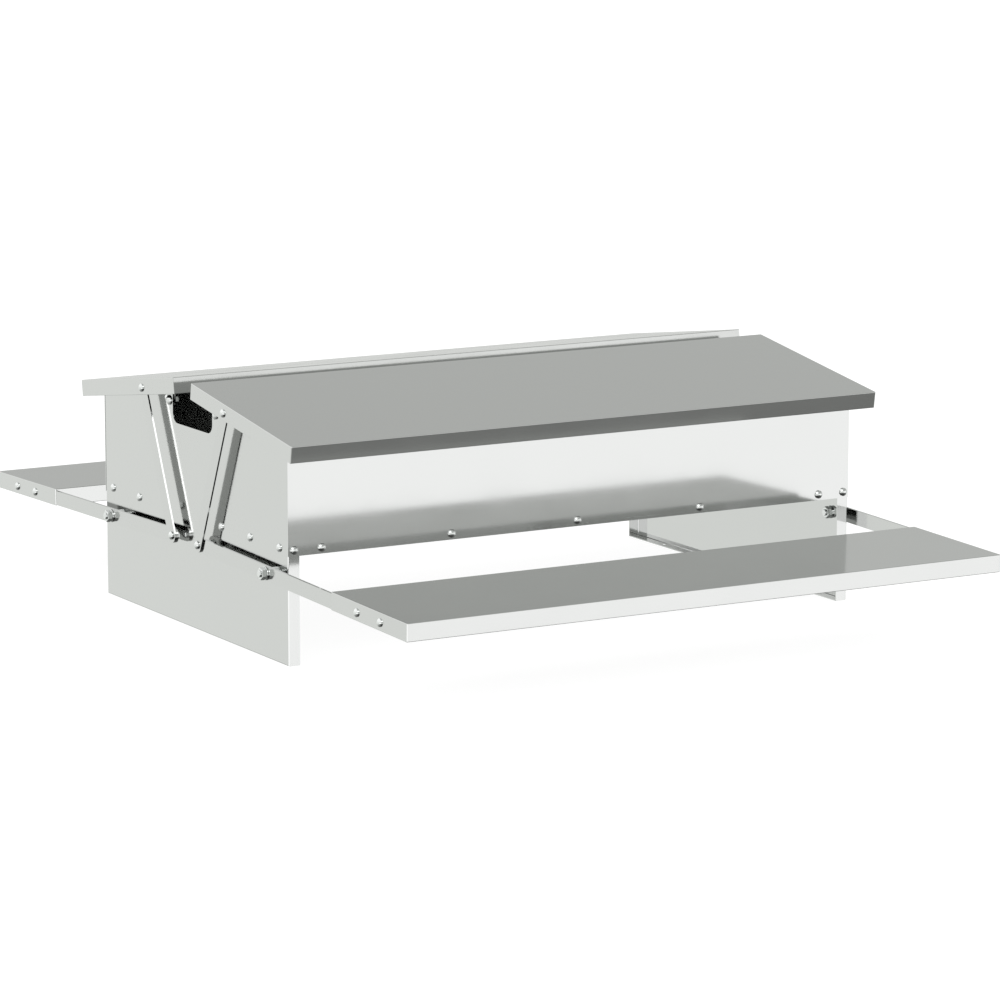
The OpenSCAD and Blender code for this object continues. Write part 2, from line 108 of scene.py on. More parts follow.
def direction(azimuth: float, elevation: float) -> tuple[float, float, float]:
    """Gives a unit vector.

    Args:
        azimuth: Degrees from +X towards +Y.
        elevation: Degrees above the horizon.

    Returns:
        The vector.
    """
    turn, rise = math.radians(azimuth), math.radians(elevation)
    return (math.cos(turn) * math.cos(rise), math.sin(turn) * math.cos(rise), math.sin(rise))


# Light of the studio in four quarters, as pairs of elevation in degrees and brightness.
# The sheets are mirrors, so each band on them is one of these steps seen in the steel.
BACK_LEFT: Ramp = (
    (-90, 0.10), (-40, 0.45), (-24, 1.02), (-12, 1.12), (-4, 1.12),
    (6, 1.22), (16, 1.42), (50, 1.42), (70, 1.00), (90, 0.60),
)
BACK_RIGHT: Ramp = (
    (-90, 0.10), (-40, 0.25), (-20, 0.60), (-12, 0.67), (-6, 0.75), (0, 0.70),
    (6, 0.57), (9, 0.60), (12, 0.65), (24, 0.64), (45, 0.60), (90, 0.60),
)
FRONT_RIGHT: Ramp = (
    (-90, 0.08), (-40, 0.05), (-30, 0.20), (-26, 0.27), (-20.5, 0.27), (-16.5, 1.40),
    (-15, 1.54), (-4, 1.56), (3, 1.62), (5.5, 1.52), (7.5, 0.82), (9, 0.77),
    (12, 0.95), (18, 0.68), (24, 0.56), (30, 0.50), (45, 0.60), (90, 0.60),
)
FRONT_LEFT: Ramp = (
    (-90, 0.05), (-40, 0.03), (-30, 0.10), (-20, 0.80), (-16, 1.80), (-6, 1.80), (3, 1.20),
    (9, 0.90), (18, 0.95), (26, 1.40), (50, 1.40), (70, 1.00), (90, 0.60),
)


@dataclass(frozen=True)
class RolledSteel:
    """Bright cold-rolled steel, half a mirror, with faint rolling lines and soft handling clouds.

    Attributes:
        name: Name of the material.
        colour: sRGB colour of the reflection.
        roughness: Roughness of the clean surface.
        grain: Axis of the rolling lines.
        line_mm: Spacing of the rolling lines. Real ones are ten times finer and would not show.
        line_depth: Strength of the lines in the bump.
        cloud_mm: Size of the clouds that hands and cleaning leave.
        cloud_share: How far lines and clouds move the roughness either way, as a share of it.
        line_share: Weight of the lines against the clouds in the roughness.
        noise_range: Least and greatest sum of both patterns that counts.
        line_height_mm: Height of the lines in the bump.
    """

    name: str
    colour: str
    roughness: float
    grain: Grain
    line_mm: float = 1.2
    line_depth: float = 0.02
    cloud_mm: float = 90.0
    cloud_share: float = 0.25
    line_share: float = 0.35
    noise_range: tuple[float, float] = (0.45, 0.95)
    line_height_mm: float = 0.02

    def build(self) -> bpy.types.Material:
        """Builds the material.

        Returns:
            The node material.
        """
        material = bpy.data.materials.new(self.name)
        material.use_nodes = True
        tree = material.node_tree
        shader = tree.nodes["Principled BSDF"]
        shader.inputs["Base Color"].default_value = linear(self.colour)
        shader.inputs["Metallic"].default_value = 1.0
        place = add_node(tree, "ShaderNodeTexCoord").outputs["Object"]
        stretched = add_node(
            tree, "ShaderNodeVectorMath", {"operation": "MULTIPLY"}, i0=place, i1=self.grain.value
        ).outputs["Vector"]
        per_line, per_cloud = 1.0 / (self.line_mm * MM), 1.0 / (self.cloud_mm * MM)
        lines = add_node(
            tree, "ShaderNodeTexNoise", Vector=stretched, Scale=per_line, Detail=2.0, Roughness=0.6
        ).outputs["Fac"]
        clouds = add_node(
            tree, "ShaderNodeTexNoise", Vector=place, Scale=per_cloud, Detail=4.0, Roughness=0.55
        ).outputs["Fac"]
        both = add_node(
            tree, "ShaderNodeMath", {"operation": "MULTIPLY_ADD"}, i0=lines, i1=self.line_share, i2=clouds
        ).outputs["Value"]
        rough = add_node(
            tree,
            "ShaderNodeMapRange",
            Value=both,
            From_Min=self.noise_range[0],
            From_Max=self.noise_range[1],
            To_Min=self.roughness * (1.0 - self.cloud_share),
            To_Max=self.roughness * (1.0 + self.cloud_share),
        ).outputs["Result"]
        tree.links.new(rough, shader.inputs["Roughness"])
        rise = self.line_height_mm * MM
        bump = add_node(tree, "ShaderNodeBump", Height=lines, Strength=self.line_depth, Distance=rise)
        tree.links.new(bump.outputs["Normal"], shader.inputs["Normal"])
        return material


@dataclass
class Dresser:
    """Gives nodes of the frame their finishes.

    Attributes:
        nodes: Objects of the frame by node name.
        made: Materials that were built, by name.
    """

    nodes: dict[str, bpy.types.Object]
    made: dict[str, bpy.types.Material] = field(default_factory=dict)

    def dress(self, names: Iterable[str], finish: RolledSteel) -> None:
        """Puts a finish on nodes.

        Args:
            names: Node names.
            finish: Finish that all of them get.
        """
        if finish.name not in self.made:
            self.made[finish.name] = finish.build()
        for name in names:
            obj = self.nodes[name]
            for slot in obj.material_slots:
                slot.material = self.made[finish.name]
            LOG.info("%s: %s", name, finish.name)


@dataclass
class Studio:
    """White studio seen from the photographer's place.

    Attributes:
        camera_at: Place of the camera.
        camera_turns: Turns of the camera about X, Y and Z in degrees.
        focal_px: Focal length in pixels of the picture.
        image_px: Width of the picture in pixels.
        sensor_mm: Width of the sensor.
        far_clip: Farthest distance that the camera shows.
        floor_half: Half of the width of the floor.
        floor_drop: Gap between the floor and the feet.
        floor_glow: Own light of the floor for the eye, so that it is white away from the feeder.
        floor_paper: Brightness of the paper, which holds the feeder's shadow.
        front_step: Depth of view over which the back quarters give way to the front ones.
        right_step: Width of view over which the left quarters give way to the right ones.
        lamp_way: Azimuth and elevation of the softbox.
        lamp_spread: Half of its width in degrees.
        lamp_edge: Width of its soft edge in degrees.
        lamp_light: Brightness of the softbox.
        tint: Colour that the dimmer walls take.
        tint_step: Brightness over which that colour fades to white.
    """

    camera_at: tuple[float, float, float] = (-2.79988, -4.95686, 1.16552)
    camera_turns: tuple[float, float, float] = (79.6057, -0.0028, -29.7631)
    focal_px: float = 4696.1
    image_px: float = 1000.0
    sensor_mm: float = 36.0
    far_clip: float = 200.0
    floor_half: float = 30.0
    floor_drop: float = 0.2 * MM
    floor_glow: float = 0.93
    floor_paper: float = 0.22
    front_step: tuple[float, float] = (0.15, -0.45)
    right_step: tuple[float, float] = (-0.25, 0.25)
    lamp_way: tuple[float, float] = (-124.0, 33.0)
    lamp_spread: float = 11.0
    lamp_edge: float = 2.0
    lamp_light: float = 2.8
    tint: str = "#FDFFFC"
    tint_step: tuple[float, float] = (1.15, 1.45)

    def build(self) -> None:
        """Builds the camera, the floor and the light."""
        self.build_camera()
        self.build_floor()
        self.build_world()

    def build_camera(self) -> None:
        """Places the camera and sets its lens from the fitted values in pixels."""
        data = bpy.data.cameras.new("camera")
        data.sensor_width = self.sensor_mm
        data.lens = self.focal_px / self.image_px * self.sensor_mm
        data.clip_end = self.far_clip
        camera = bpy.data.objects.new("camera", data)
        camera.location = self.camera_at
        camera.rotation_euler = tuple(math.radians(turn) for turn in self.camera_turns)
        bpy.context.scene.collection.objects.link(camera)
        bpy.context.scene.camera = camera

    def build_floor(self) -> None:
        """Lays the floor: white where nothing stands, with the soft shadow of the feeder."""
        half, level = self.floor_half, -self.floor_drop
        mesh = bpy.data.meshes.new("floor")
        corners = [(-half, -half, level), (half, -half, level), (half, half, level), (-half, half, level)]
        mesh.from_pydata(corners, [], [(0, 1, 2, 3)])
        floor = bpy.data.objects.new("floor", mesh)
        bpy.context.scene.collection.objects.link(floor)
        floor.visible_glossy = False
        material = bpy.data.materials.new("white paper sweep")
        material.use_nodes = True
        tree = material.node_tree
        tree.nodes.clear()
        path = add_node(tree, "ShaderNodeLightPath")
        seen = self.seen_mask(tree, path)
        glow = add_node(
            tree, "ShaderNodeMath", {"operation": "MULTIPLY"}, i0=seen, i1=self.floor_glow
        ).outputs["Value"]
        grey = (self.floor_paper, self.floor_paper, self.floor_paper, 1)
        paper = add_node(tree, "ShaderNodeBsdfDiffuse", Color=grey).outputs["BSDF"]
        light = add_node(tree, "ShaderNodeEmission", Color=(1, 1, 1, 1), Strength=glow).outputs["Emission"]
        both = add_node(tree, "ShaderNodeAddShader", i0=paper, i1=light).outputs["Shader"]
        add_node(tree, "ShaderNodeOutputMaterial", Surface=both)
        mesh.materials.append(material)

    @staticmethod
    def seen_mask(tree: bpy.types.NodeTree, path: bpy.types.Node) -> bpy.types.NodeSocket:
        """Makes a mask that is one for camera, glossy and transmission rays.

        Args:
            tree: Node tree that gets the nodes.
            path: Light Path node of that tree.

        Returns:
            The mask.
        """
        glossy = add_node(
            tree,
            "ShaderNodeMath",
            {"operation": "MAXIMUM"},
            i0=path.outputs["Is Camera Ray"],
            i1=path.outputs["Is Glossy Ray"],
        ).outputs["Value"]
        through = path.outputs["Is Transmission Ray"]
        return add_node(
            tree, "ShaderNodeMath", {"operation": "MAXIMUM"}, i0=glossy, i1=through
        ).outputs["Value"]

    def build_world(self) -> None:
        """Builds the walls of the studio, white at the horizon and dark below, and the softbox."""
        world = bpy.data.worlds.new("studio")
        world.use_nodes = True
        bpy.context.scene.world = world
        tree = world.node_tree
        tree.nodes.clear()
        way = add_node(tree, "ShaderNodeTexCoord").outputs["Generated"]
        split = add_node(tree, "ShaderNodeSeparateXYZ", Vector=way)
        height = add_node(
            tree, "ShaderNodeMapRange", Value=split.outputs["Z"], From_Min=-1.0, From_Max=1.0
        ).outputs["Result"]
        to_front = self.blend(tree, split.outputs["Y"], *self.front_step)
        to_right = self.blend(tree, split.outputs["X"], *self.right_step)
        back, front = (
            add_node(
                tree,
                "ShaderNodeMix",
                {"data_type": "FLOAT"},
                i0=to_right,
                i2=self.ramp(tree, height, left),
                i3=self.ramp(tree, height, right),
            ).outputs[0]
            for left, right in ((BACK_LEFT, BACK_RIGHT), (FRONT_LEFT, FRONT_RIGHT))
        )
        walls = add_node(
            tree, "ShaderNodeMix", {"data_type": "FLOAT"}, i0=to_front, i2=back, i3=front
        ).outputs[0]
        lamp_at = direction(*self.lamp_way)
        toward = add_node(
            tree, "ShaderNodeVectorMath", {"operation": "DOT_PRODUCT"}, i0=way, i1=lamp_at
        ).outputs["Value"]
        lamp = add_node(
            tree,
            "ShaderNodeMapRange",
            {"interpolation_type": "SMOOTHSTEP"},
            Value=toward,
            From_Min=math.cos(math.radians(self.lamp_spread + self.lamp_edge)),
            From_Max=math.cos(math.radians(self.lamp_spread)),
            To_Min=0.0,
            To_Max=self.lamp_light,
        ).outputs["Result"]
        studio = add_node(tree, "ShaderNodeMath", {"operation": "ADD"}, i0=walls, i1=lamp).outputs["Value"]
        path = add_node(tree, "ShaderNodeLightPath")
        seen = self.seen_mask(tree, path)
        fill = add_node(
            tree, "ShaderNodeMix", {"data_type": "FLOAT"}, i0=seen, i2=1.0, i3=studio
        ).outputs[0]
        looked_at, white = path.outputs["Is Camera Ray"], (1, 1, 1, 1)
        strength = add_node(
            tree, "ShaderNodeMix", {"data_type": "FLOAT"}, i0=looked_at, i2=fill, i3=1.0
        ).outputs[0]
        bright = self.blend(tree, studio, *self.tint_step)
        tint = add_node(
            tree, "ShaderNodeMix", {"data_type": "RGBA"}, i0=bright, i6=linear(self.tint), i7=white
        ).outputs[2]
        colour = add_node(
            tree, "ShaderNodeMix", {"data_type": "RGBA"}, i0=looked_at, i6=tint, i7=white
        ).outputs[2]
        background = add_node(tree, "ShaderNodeBackground", Color=colour, Strength=strength)
        add_node(tree, "ShaderNodeOutputWorld", Surface=background.outputs["Background"])

    @staticmethod
    def blend(
        tree: bpy.types.NodeTree, value: bpy.types.NodeSocket, start: float, end: float
    ) -> bpy.types.NodeSocket:
        """Makes a soft step from 0 to 1 of a value.

        Args:
            tree: Node tree that gets the node.
            value: Value that is stepped.
            start: Where the step is 0.
            end: Where the step is 1.

        Returns:
            The step.
        """
        return add_node(
            tree,
            "ShaderNodeMapRange",
            {"interpolation_type": "SMOOTHSTEP"},
            Value=value,
            From_Min=start,
            From_Max=end,
        ).outputs["Result"]

    @staticmethod
    def ramp(tree: bpy.types.NodeTree, height: bpy.types.NodeSocket, light: Ramp) -> bpy.types.NodeSocket:
        """Turns a height above the horizon into a brightness.

        Args:
            tree: Node tree that gets the node.
            height: Sine of the elevation, mapped from 0 to 1.
            light: Pairs of an elevation in degrees and the brightness there.

        Returns:
            The brightness.
        """
        node = add_node(tree, "ShaderNodeValToRGB", Fac=height)
        stops = node.color_ramp.elements
        stops.remove(stops[1])
        for place, (elevation, value) in enumerate(light):
            at = (math.sin(math.radians(elevation)) + 1) / 2
            stop = stops[0] if place == 0 else stops.new(at)
            stop.position = at
            stop.color = (value, value, value, 1)
        return node.outputs["Color"]


# Cold-rolled sheet, skin-passed between polished rolls: a soft mirror with long, barely blurred bands
LONG_SHEET = RolledSteel("bright rolled sheet, lengthwise", "#C3C4C3", 0.10, Grain.ALONG_X)
# The same sheet cut across the coil: its faint lines stand upright on the end panels
END_SHEET = RolledSteel("bright rolled sheet, upright", "#C3C4C3", 0.10, Grain.ALONG_Z)
# Flat bar drawn bright through a die: a shade duller than the sheet, with finer drawing lines
BAR = RolledSteel("bright drawn flat bar", "#C2C3C2", 0.12, Grain.ALONG_Y, line_mm=0.9)
# Steel plated with zinc in a barrel: paler and softer, with sparkling tops and dark undersides
FASTENER = RolledSteel("zinc-plated steel", "#D3D5D4", 0.16, Grain.ALONG_Z, line_mm=0.6, cloud_mm=8.0)


class Side(Enum):
    """Front or back half of the feeder."""

    FRONT = -1
    BACK = 1

    @property
    def label(self) -> str:
        """Name of the side in node names."""
        return self.name.lower()


@dataclass(frozen=True)
class Seat:
    """Place where a fastener sits, in millimetres.

    Attributes:
        at: Point of the seat on the axis.
        out: Direction from the seat to the head.
        roll: Turn about the axis in degrees.
    """

    at: tuple[float, float, float]
    out: tuple[float, float, float]
    roll: float = 0.0

    def carry(self, points: np.ndarray) -> np.ndarray:
        """Moves points that stand on the local third axis to this seat.

        Args:
            points: Array of points in millimetres.

        Returns:
            Array of points in metres.
        """
        axis = np.array(self.out, float)
        up = np.array([0.0, 0.0, 1.0])
        across = np.cross(up, axis)
        turn = math.radians(self.roll)
        first = up * math.cos(turn) + across * math.sin(turn)
        second = np.cross(axis, first)
        return (points @ np.stack([first, second, axis]) + np.array(self.at)) * MM


@dataclass
class Mesher:
    """Collects surfaces as whole arrays and makes one mesh of them.

    Attributes:
        points: Arrays of points in metres.
        faces: Faces as lists of point numbers.
        count: Number of points so far.
    """

    points: list[np.ndarray] = field(default_factory=list)
    faces: list[list[int]] = field(default_factory=list)
    count: int = 0

    def turned(self, radius: np.ndarray, height: np.ndarray, seat: Seat, ring: bool) -> None:
        """Adds a surface turned about an axis: angle across the columns, the profile down the rows.

        Args:
            radius: Distance from the axis, rows by columns.
            height: Height along the axis, rows by columns.
            seat: Place of the piece.
            ring: True if the profile closes on itself; otherwise both ends get flat caps.
        """
        angle = np.linspace(0.0, 2.0 * math.pi, radius.shape[1], endpoint=False)[None, :]
        round_axis = np.stack([radius * np.cos(angle), radius * np.sin(angle), height], axis=-1)
        self.lofted(seat.carry(round_axis), ring)

    def lofted(self, grid: np.ndarray, ring: bool) -> None:
        """Adds a skin over closed outlines: one outline per row, each joined to the next by squares.

        The sum of the signed volumes of its triangles over the middle tells which way the faces look,
        and a skin that looks inward gets every face turned round.

        Args:
            grid: Points in metres, rows by columns by three.
            ring: True if the last row joins the first; otherwise both ends get flat caps.
        """
        rows, columns = grid.shape[:2]
        row = np.arange(rows if ring else rows - 1)[:, None]
        column = np.arange(columns)[None, :]
        below, beside = (row + 1) % rows, (column + 1) % columns
        corners = (
            row * columns + column,
            row * columns + beside,
            below * columns + beside,
            below * columns + column,
        )
        quads = np.stack(np.broadcast_arrays(*corners), axis=-1).reshape(-1, 4)
        caps = [] if ring else [np.arange(columns)[::-1], (rows - 1) * columns + np.arange(columns)]
        points = grid.reshape(-1, 3)
        fans = [np.stack([np.full(len(cap) - 2, cap[0]), cap[1:-1], cap[2:]], axis=-1) for cap in caps]
        triangles = np.concatenate([quads[:, [0, 1, 2]], quads[:, [0, 2, 3]], *fans])
        first, second, third = np.moveaxis(points[triangles] - points.mean(axis=0), 1, 0)
        volume = np.einsum("ij,ij->i", first, np.cross(second, third)).sum()
        step = 1 if volume > 0.0 else -1
        self.faces += [(shape[::step] + self.count).tolist() for shape in (*quads, *caps)]
        self.points.append(points)
        self.count += len(points)

    def piece(self, name: str, material: bpy.types.Material, sharp: float = 28.0) -> bpy.types.Object:
        """Makes the object.

        Args:
            name: Name of the object.
            material: Finish of the piece.
            sharp: Angle in degrees above which an edge stays crisp.

        Returns:
            The object at the origin.
        """
        mesh = bpy.data.meshes.new(name)
        mesh.from_pydata(np.concatenate(self.points).tolist(), [], self.faces)
        mesh.polygons.foreach_set("use_smooth", np.ones(len(mesh.polygons), bool))
        mesh.set_sharp_from_angle(angle=math.radians(sharp))
        mesh.materials.append(material)
        obj = bpy.data.objects.new(name, mesh)
        bpy.context.scene.collection.objects.link(obj)
        LOG.info("%s: %d faces", name, len(mesh.polygons))
        return obj


def spread(values: Iterable[float], columns: int) -> np.ndarray:
    """Repeats a profile round the axis.

    Args:
        values: One value per row.
        columns: Number of steps round the axis.

    Returns:
        Array of rows by columns.
    """
    return np.repeat(np.array(list(values), float)[:, None], columns, axis=1)


@dataclass(frozen=True)
class Slope:
    """Frame of a lid or treadle plate, square to its sheet, in millimetres.

    Attributes:
        pivot: Distance of the pivot from the centre plane and its height.
        fall: Fall of the sheet toward its outer edge in degrees.
    """

    pivot: tuple[float, float]
    fall: float

    def carry(self, points: np.ndarray, side: Side) -> np.ndarray:
        """Moves points from along, outward and upward lengths to the frame of the feeder.

        Args:
            points: Array of points in millimetres.
            side: Half of the feeder.

        Returns:
            Array of points in metres.
        """
        along, outward, upward = np.moveaxis(points, -1, 0)
        cos, sin = math.cos(math.radians(self.fall)), math.sin(math.radians(self.fall))
        reach = self.pivot[0] + outward * cos + upward * sin
        height = self.pivot[1] - outward * sin + upward * cos
        return np.stack([along, side.value * reach, height], axis=-1) * MM


@dataclass(frozen=True)
class FoldedPan:
    """Sheet folded down on all four sides into a shallow pan that is open below.

    Attributes:
        slope: Frame of the sheet.
        half_length: Half of the length along the feeder in millimetres.
        near: Inner edge.
        far: Outer edge.
        low: Lower edge of the lips.
        top: Upper face.
        sheet: Thickness of the sheet.
        bend: Outer radius of the folds, pressed tight.
        corner: Outer radius of the upright corners.
        corner_least: Least radius of these corners further in, as a share of the outer one.
        hold: Width of the narrow bands that keep the flat faces flat in shading.
        steps: Steps over each rounding.
    """

    slope: Slope
    half_length: float
    near: float
    far: float
    low: float
    top: float
    sheet: float = 1.2
    bend: float = 0.7
    corner: float = 1.8
    corner_least: float = 0.2
    hold: float = 0.06
    steps: int = 7

    def outline(self) -> np.ndarray:
        """Gives a rectangle with rounded corners: each corner is a quarter circle of radius one.

        Returns:
            Columns by four: signs of the corner along and outward, then offsets from the corner.
        """
        turn = np.linspace(0.0, math.pi / 2.0, self.steps)
        round_off = np.stack([np.cos(turn) - 1.0, np.sin(turn) - 1.0], axis=-1)
        before = np.array([[0.0, -1.0 - self.hold]])
        after = np.array([[-1.0 - self.hold, 0.0]])
        quarter = np.concatenate([before, round_off, after])
        parts = []
        for across, outward in ((1, 1), (-1, 1), (-1, -1), (1, -1)):
            offsets = quarter if across * outward > 0 else quarter[::-1]
            signs = np.broadcast_to([across, outward], offsets.shape)
            parts.append(np.concatenate([signs, offsets * signs], axis=-1))
        return np.concatenate(parts)

    def section(self) -> np.ndarray:
        """Gives the section of a lip: a quarter circle at the fold and a half circle at the cut edge.

        Returns:
            Rows by two: inset from the outside and height.
        """
        fold = np.linspace(math.pi / 2.0, 0.0, self.steps)
        edge = np.linspace(0.0, math.pi, self.steps)
        half, under = self.sheet / 2.0, self.top - self.sheet
        return np.concatenate(
            [
                [[self.bend + self.hold, self.top]],
                np.stack(
                    [self.bend * (1.0 - np.cos(fold)), self.top - self.bend * (1.0 - np.sin(fold))],
                    axis=-1,
                ),
                [[0.0, self.top - self.bend - self.hold], [0.0, self.low + half + self.hold]],
                np.stack([half * (1.0 - np.cos(edge)), self.low + half * (1.0 - np.sin(edge))], axis=-1),
                [[self.sheet, self.low + half + self.hold], [self.sheet, under]],
            ]
        )

    def build(self, node: str, body: str, side: Side, material: bpy.types.Material) -> bpy.types.Object:
        """Builds the pan: each row is the outline at the inset and height of one point of the section.

        Args:
            node: Node of the frame that it stands for.
            body: Body that carries it.
            side: Half of the feeder.
            material: Finish of the sheet.

        Returns:
            The piece.
        """
        outline, section = self.outline()[None, :, :], self.section()[:, None, :]
        middle, half_width = (self.near + self.far) / 2.0, (self.far - self.near) / 2.0
        inset = section[..., 0]
        rounding = np.maximum(self.corner - inset, self.corner_least * self.corner)
        along = outline[..., 0] * (self.half_length - inset) + rounding * outline[..., 2]
        outward = middle + outline[..., 1] * (half_width - inset) + rounding * outline[..., 3]
        upward = np.broadcast_to(section[..., 1], along.shape)
        mesher = Mesher()
        mesher.lofted(self.slope.carry(np.stack([along, outward, upward], axis=-1), side), ring=False)
        piece = mesher.piece(f"{node}.fine", material)
        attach(piece, body)
        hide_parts(node)
        return piece


@dataclass(frozen=True)
class SidePans:
    """Lid and treadle plate of one half, with tight folds and rounded lower edges.

    Sizes are in millimetres and repeat those of the frame.
    """

    side: Side
    lid: FoldedPan = FoldedPan(Slope((62.0, 268.538), 8.4), 400.0, -41.462, 219.843, 7.5, 27.5)
    plate: FoldedPan = FoldedPan(Slope((209.0, 104.6), 1.4), 397.4, 163.6, 341.6, -9.6, 11.4)

    def build(self, material: bpy.types.Material) -> None:
        """Builds both pans.

        Args:
            material: Finish of the sheet.
        """
        label = self.side.label
        self.lid.build(f"{label}_lid", f"{label}_cover", self.side, material)
        self.plate.build(f"{label}_treadle_plate", f"{label}_treadle", self.side, material)


@dataclass(frozen=True)
class Thread:
    """Screw thread.

    Attributes:
        radius: Outer radius in millimetres.
        pitch: Rise of one turn.
        depth: Depth of the groove.
        columns: Steps round the axis.
        rows_per_turn: Steps along one turn.
        bevel: Height of the bevel at the tip.
        crest: Power that widens the crests against the grooves.
    """

    radius: float
    pitch: float
    depth: float
    columns: int = 28
    rows_per_turn: int = 8
    bevel: float = 0.35
    crest: float = 1.5

    def add(self, mesher: Mesher, seat: Seat, low: float, high: float) -> None:
        """Adds the thread, a round rod whose radius dips along a helix and narrows at both tips.

        Args:
            mesher: Collector of the surfaces.
            seat: Place of the piece.
            low: Lower end along the axis.
            high: Upper end along the axis.
        """
        rows = max(3, int((high - low) / self.pitch * self.rows_per_turn))
        height = spread(np.linspace(low, high, rows), self.columns)
        angle = np.linspace(0.0, 2.0 * math.pi, self.columns, endpoint=False)[None, :]
        phase = 2.0 * math.pi * height / self.pitch - angle
        groove = self.depth * (0.5 - 0.5 * np.cos(phase)) ** self.crest
        narrow = np.clip(self.bevel - np.minimum(height - low, high - height), 0.0, self.bevel)
        radius = np.minimum(self.radius - groove, self.radius - narrow)
        mesher.turned(radius, height, seat, ring=False)


@dataclass(frozen=True)
class HexNut:
    """Hexagon nut with beveled corners.

    Attributes:
        flats: Width across flats in millimetres.
        height: Height of the nut.
        bore: Radius of the bore.
        face_share: Radius of the flat face as a share of half the width across flats.
        bevel: Slope of the bevel in degrees.
        columns: Steps round the axis.
    """

    flats: float
    height: float
    bore: float
    face_share: float = 0.95
    bevel: float = 30.0
    columns: int = 72

    def add(self, mesher: Mesher, seat: Seat, low: float) -> None:
        """Adds the nut, whose wall follows the flats and whose bevels are cones cut by the flats.

        Args:
            mesher: Collector of the surfaces.
            seat: Place of the piece.
            low: Lower face along the axis.
        """
        sixth = 60.0
        angle = np.linspace(0.0, 6.0 * sixth, self.columns, endpoint=False)
        wall = self.flats / 2.0 / np.cos(np.radians(angle % sixth - sixth / 2.0))
        face = np.full(self.columns, self.flats / 2.0 * self.face_share)
        bore = np.full(self.columns, self.bore)
        rise = (wall - face) * math.tan(math.radians(self.bevel))
        radius = np.stack([bore, face, wall, wall, face, bore])
        bottom, top = np.full(self.columns, low), np.full(self.columns, low + self.height)
        height = np.stack([bottom, bottom, bottom + rise, top - rise, top, top])
        mesher.turned(radius, height, seat, ring=True)


@dataclass(frozen=True)
class Washer:
    """Flat ring with softened edges.

    Attributes:
        outer: Outer radius in millimetres.
        inner: Radius of the hole.
        height: Thickness.
        edge: Size of the softened edges.
        columns: Steps round the axis.
    """

    outer: float
    inner: float
    height: float
    edge: float = 0.15
    columns: int = 48

    def add(self, mesher: Mesher, seat: Seat, low: float) -> None:
        """Adds the ring, a closed profile turned about the axis.

        Args:
            mesher: Collector of the surfaces.
            seat: Place of the piece.
            low: Lower face along the axis.
        """
        high, edge = low + self.height, self.edge
        radius = (self.inner, self.outer - edge, self.outer, self.outer, self.outer - edge, self.inner)
        height = (low, low, low + edge, high - edge, high, high)
        mesher.turned(spread(radius, self.columns), spread(height, self.columns), seat, ring=True)


@dataclass(frozen=True)
class DomedHead:
    """Domed head with a short upright rim.

    Attributes:
        radius: Radius of the head in millimetres.
        height: Height of the head.
        rim: Height of the rim.
        edge_share: Size of the rolled lower edge as a share of the rim.
        centre_share: Radius of the flat spot in the middle as a share of the head's.
        rows: Steps over the dome.
        columns: Steps round the axis.
    """

    radius: float
    height: float
    rim: float
    edge_share: float = 0.12
    centre_share: float = 0.03
    rows: int = 10
    columns: int = 40

    def add(self, mesher: Mesher, seat: Seat) -> None:
        """Adds the head, a slice of a ball on a rim with a rolled lower edge.

        Args:
            mesher: Collector of the surfaces.
            seat: Place of the piece.
        """
        rise = self.height - self.rim
        ball = (self.radius**2 + rise**2) / (2.0 * rise)
        edge = self.edge_share * self.rim
        over = np.linspace(self.centre_share, 1.0, self.rows) * self.radius
        dome = self.height - ball + np.sqrt(ball**2 - over**2)
        radius = np.concatenate([over, [self.radius, self.radius - edge]])
        height = np.concatenate([dome, [edge, 0.0]])
        mesher.turned(spread(radius, self.columns), spread(height, self.columns), seat, ring=False)


@dataclass(frozen=True)
class PanScrew:
    """Small screw with a domed head and its nut.

    Attributes:
        grip: Thickness between head and nut in millimetres.
        washer: Ring between the grip and the nut, if there is one.
        head: Domed head.
        nut: Nut at the far side.
        thread: Thread of the shank.
        tip: How far the shank stands out of the nut.
    """

    grip: float
    washer: Washer | None = None
    head: DomedHead = DomedHead(5.0, 3.6, 1.1)
    nut: HexNut = HexNut(8.0, 4.0, 2.45)
    thread: Thread = Thread(2.5, 0.8, 0.36)
    tip: float = 0.8

    def add(self, mesher: Mesher, seat: Seat) -> None:
        """Adds the screw with its nut.

        Args:
            mesher: Collector of the surfaces.
            seat: Place of the screw, under its head.
        """
        self.head.add(mesher, seat)
        self.nut.add(mesher, seat, -self.grip - self.nut.height)
        self.thread.add(mesher, seat, -self.grip - self.nut.height - self.tip, 0.0)
        if self.washer:
            self.washer.add(mesher, seat, -self.grip)


